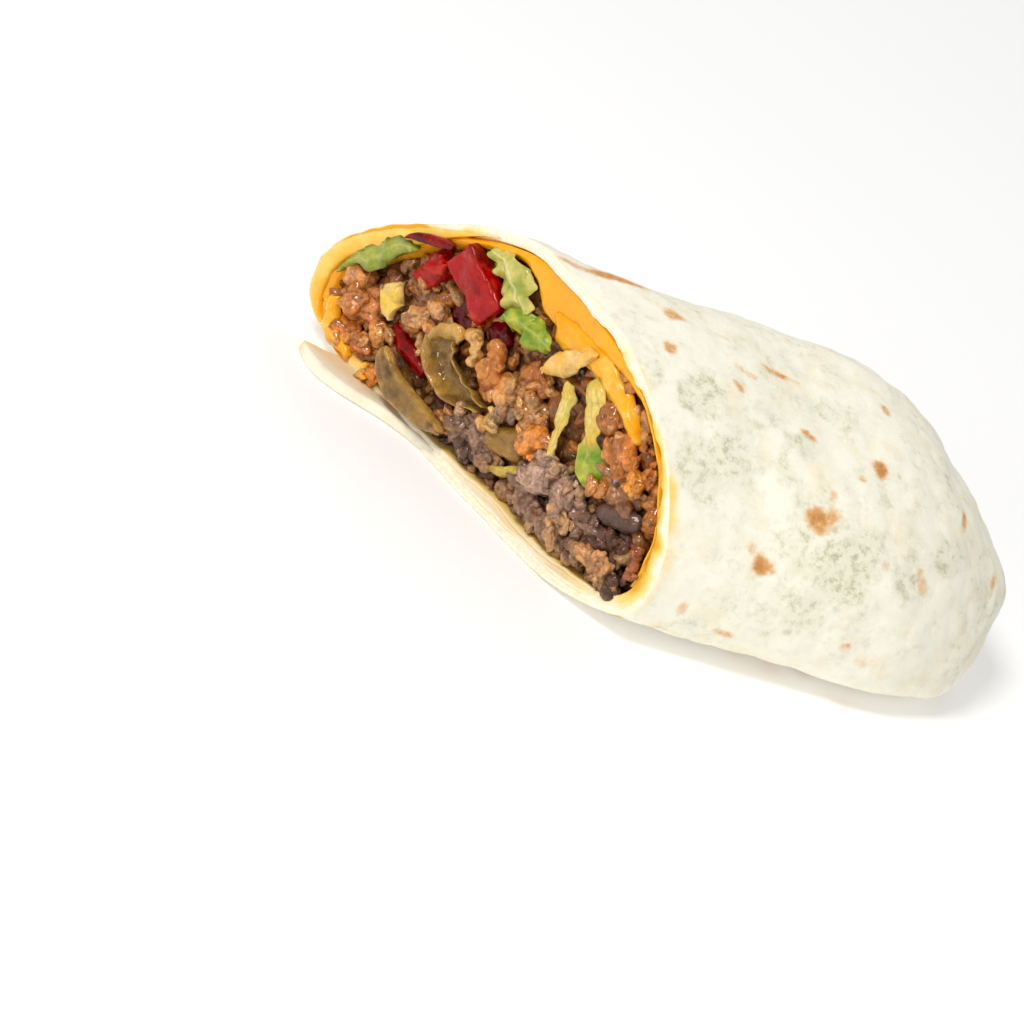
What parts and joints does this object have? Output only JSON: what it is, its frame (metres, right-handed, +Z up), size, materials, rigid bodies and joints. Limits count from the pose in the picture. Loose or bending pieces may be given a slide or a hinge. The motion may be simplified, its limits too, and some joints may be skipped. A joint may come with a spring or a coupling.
{
  "type": "burrito half",
  "caption": "Half of a filled burrito cut on the bias and lying on its flat base: a folded flatbread wrap round melted cheese, minced beef and chopped vegetables.",
  "frame": {"origin": "middle of the bounding box, on the plane that it rests on", "axes": "+X along the roll from the cut to the closed end, +Y to the side where the cut's sharp tip is, +Z up"},
  "size_m": [0.134, 0.088, 0.0488],
  "materials": {
    "tortilla": "soft matt flatbread with toasted spots",
    "cheese": "melted, glossy",
    "beef_sauced": "moist minced meat in sauce",
    "beef_plain": "moist minced meat",
    "tomato": "wet cut flesh",
    "jalapeno": "pickled, wet",
    "lettuce": "crisp thin leaf",
    "onion": "translucent, wet",
    "crispy_onion": "fried, rough",
    "yellow_pepper": "wet, smooth",
    "red_onion": "wet, smooth",
    "bean": "smooth skin"
  },
  "bodies": {
    "root": {"tortilla": "tortilla", "cheese": "cheese", "beef_sauced": "beef_sauced", "beef_plain": "beef_plain", "tomato_1": "tomato", "tomato_2": "tomato", "tomato_3": "tomato", "tomato_4": "tomato", "tomato_5": "tomato", "tomato_6": "tomato", "jalapeno_1": "jalapeno", "jalapeno_2": "jalapeno", "jalapeno_3": "jalapeno", "jalapeno_4": "jalapeno", "lettuce_1": "lettuce", "lettuce_2": "lettuce", "lettuce_3": "lettuce", "lettuce_4": "lettuce", "lettuce_5": "lettuce", "onion_1": "onion", "yellow_pepper_1": "yellow_pepper", "red_onion_1": "red_onion", "crispy_onion_1": "crispy_onion", "crispy_onion_2": "crispy_onion", "crispy_onion_3": "crispy_onion", "crispy_onion_4": "crispy_onion", "bean_1": "bean"}
  },
  "joints": []
}
